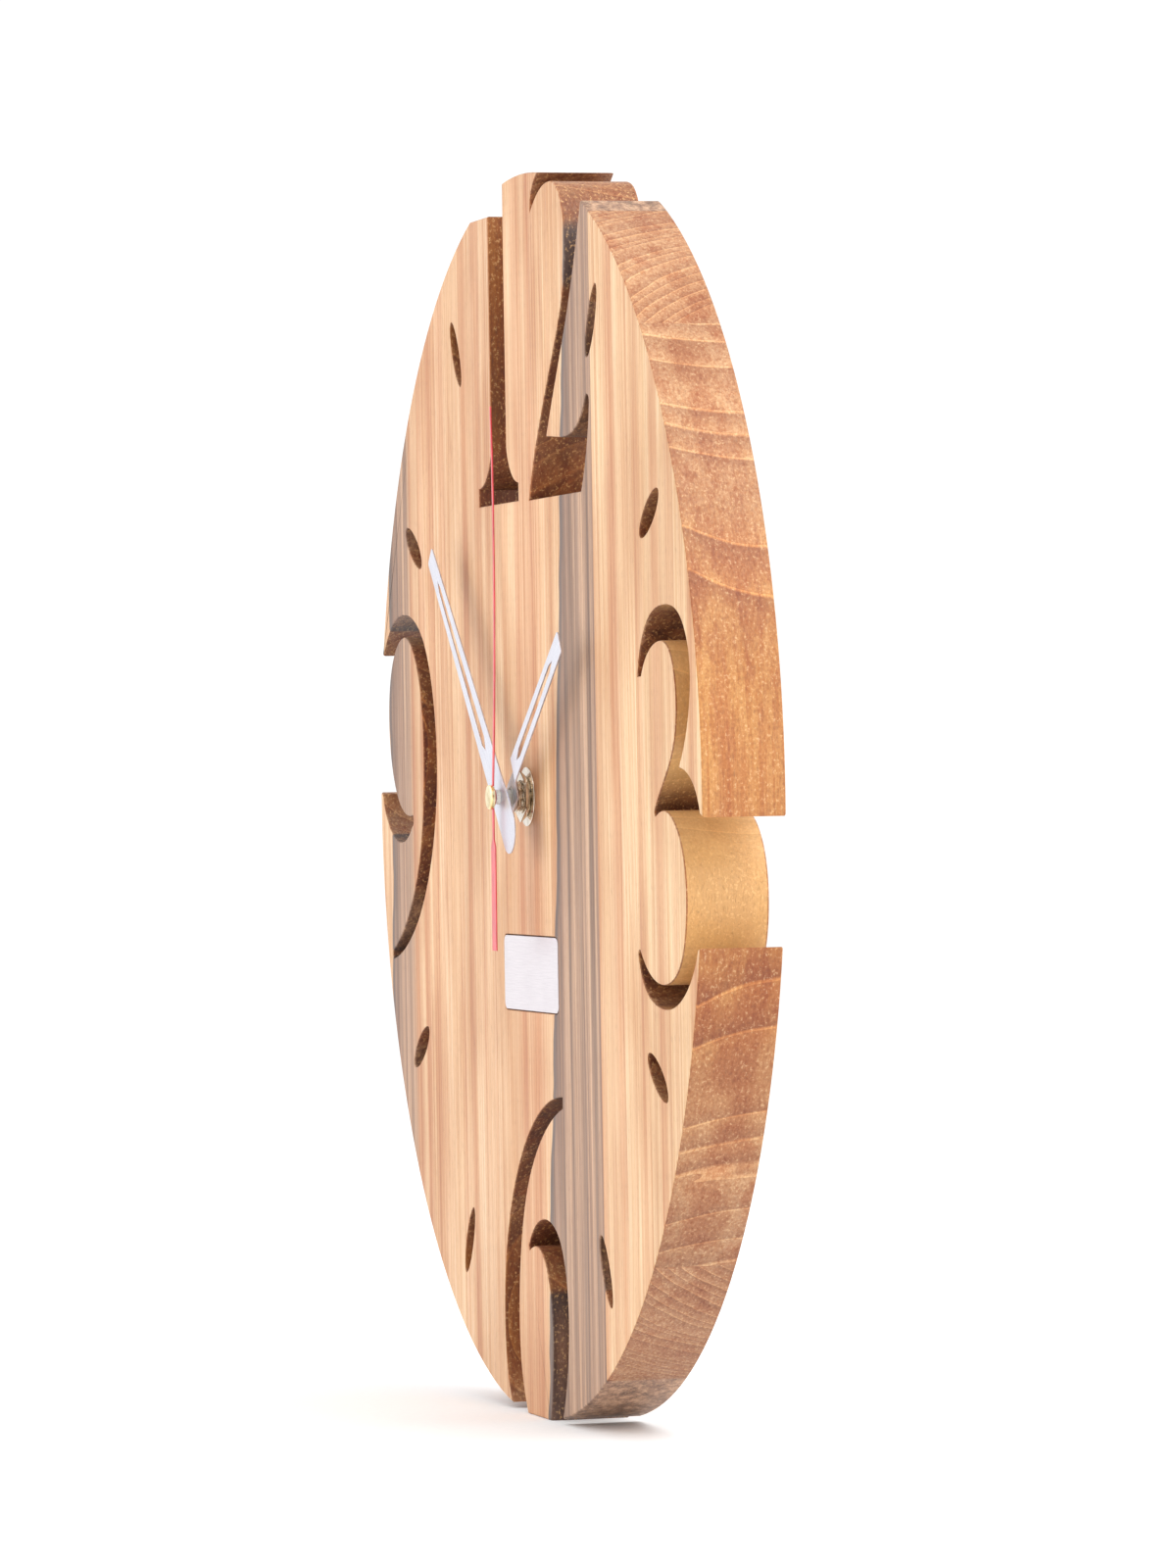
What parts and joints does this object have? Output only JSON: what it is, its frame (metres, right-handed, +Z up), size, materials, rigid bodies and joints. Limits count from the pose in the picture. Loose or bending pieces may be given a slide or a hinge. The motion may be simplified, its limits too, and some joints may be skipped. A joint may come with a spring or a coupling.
{
  "type": "wooden quartz clock",
  "caption": "Round solid-wood quartz clock standing on its rim, with open cut-out numerals, three slim hands and a battery movement behind.",
  "frame": {"origin": "middle of the flat foot on the board's rim, on the surface the clock stands on, half way through the board's thickness", "axes": "+Z up, +Y towards the back of the board, the dial faces -Y, +X to the right as seen from the front"},
  "size_m": [0.3, 0.0294, 0.2995],
  "materials": {
    "oak": "oiled solid oak",
    "plate_metal": "satin",
    "adhesive": "foam tape",
    "rubber": "matt",
    "brass": "polished",
    "nickel": "bright nickel plate",
    "hand_metal": "satin",
    "red_lacquer": "red lacquer",
    "black_plastic": "fine moulded texture",
    "white_plastic": "acetal",
    "magnet": "ground",
    "copper": "enamelled copper wire",
    "board": "solder mask",
    "chip": "epoxy",
    "battery_wrap": "printed sleeve"
  },
  "bodies": {
    "clock_body": {"dial_stave_1": "oak", "dial_stave_2": "oak", "dial_stave_3": "oak", "dial_stave_4": "oak", "dial_stave_5": "oak", "dial_stave_6": "oak", "dial_stave_7": "oak", "name_plate": "plate_metal", "plate_adhesive": "adhesive", "rubber_gasket": "rubber", "threaded_stem": "brass", "front_washer": "nickel", "hex_nut": "nickel", "movement_case": "black_plastic", "movement_cover": "black_plastic", "cover_screws": "nickel", "train_bridge": "white_plastic", "arbor_pins": "nickel", "stator": "nickel", "coil_core": "nickel", "coil_bobbin": "white_plastic", "coil_winding": "copper", "circuit_board": "board", "driver_chip": "chip", "quartz_crystal": "nickel", "battery": "battery_wrap", "contact_positive": "nickel", "contact_negative": "nickel"},
    "seconds": {"second_hand": "red_lacquer", "second_hand_cap": "brass", "second_wheel": "white_plastic"},
    "minutes": {"minute_hand": "hand_metal", "cannon_pinion": "white_plastic"},
    "hours": {"hour_hand": "hand_metal", "hour_wheel": "white_plastic"},
    "centre": {"centre_wheel": "white_plastic"},
    "third": {"third_wheel": "white_plastic"},
    "intermediate": {"intermediate_wheel": "white_plastic"},
    "rotor": {"rotor_pinion": "white_plastic", "rotor_magnet": "magnet"},
    "minute_work": {"minute_work_wheel": "white_plastic"},
    "knob": {"setting_knob": "black_plastic"}
  },
  "joints": [
    {"name": "second_hand_turn", "type": "hinge", "parent": "clock_body", "child": "seconds", "pos_m": [0, 0, 0.1495], "axis": [0, 1, 0], "continuous": true},
    {"name": "minute_hand_turn", "type": "hinge", "parent": "clock_body", "child": "minutes", "pos_m": [0, 0, 0.1495], "axis": [0, 1, 0], "continuous": true},
    {"name": "hour_hand_turn", "type": "hinge", "parent": "clock_body", "child": "hours", "pos_m": [0, 0, 0.1495], "axis": [0, 1, 0], "continuous": true},
    {"name": "centre_wheel_turn", "type": "hinge", "parent": "clock_body", "child": "centre", "pos_m": [0, 0, 0.1495], "axis": [0, 1, 0], "continuous": true},
    {"name": "third_wheel_turn", "type": "hinge", "parent": "clock_body", "child": "third", "pos_m": [-0.0102, 0, 0.1495], "axis": [0, 1, 0], "continuous": true},
    {"name": "intermediate_wheel_turn", "type": "hinge", "parent": "clock_body", "child": "intermediate", "pos_m": [0.00677, 0, 0.14704], "axis": [0, 1, 0], "continuous": true},
    {"name": "rotor_turn", "type": "hinge", "parent": "clock_body", "child": "rotor", "pos_m": [0.01213, 0, 0.15154], "axis": [0, 1, 0], "continuous": true},
    {"name": "minute_work_turn", "type": "hinge", "parent": "clock_body", "child": "minute_work", "pos_m": [0, 0, 0.1575], "axis": [0, 1, 0], "continuous": true},
    {"name": "setting_knob_turn", "type": "hinge", "parent": "clock_body", "child": "knob", "pos_m": [0, 0, 0.1655], "axis": [0, 1, 0], "continuous": true}
  ],
  "couplings": [
    {"joint": "third_wheel_turn", "follows": "second_hand_turn", "ratio": -0.125},
    {"joint": "centre_wheel_turn", "follows": "second_hand_turn", "ratio": 0.016667},
    {"joint": "intermediate_wheel_turn", "follows": "second_hand_turn", "ratio": -5},
    {"joint": "rotor_turn", "follows": "second_hand_turn", "ratio": 30},
    {"joint": "minute_work_turn", "follows": "minute_hand_turn", "ratio": -0.33333},
    {"joint": "hour_hand_turn", "follows": "minute_hand_turn", "ratio": 0.083333},
    {"joint": "setting_knob_turn", "follows": "minute_hand_turn", "ratio": 1}
  ]
}
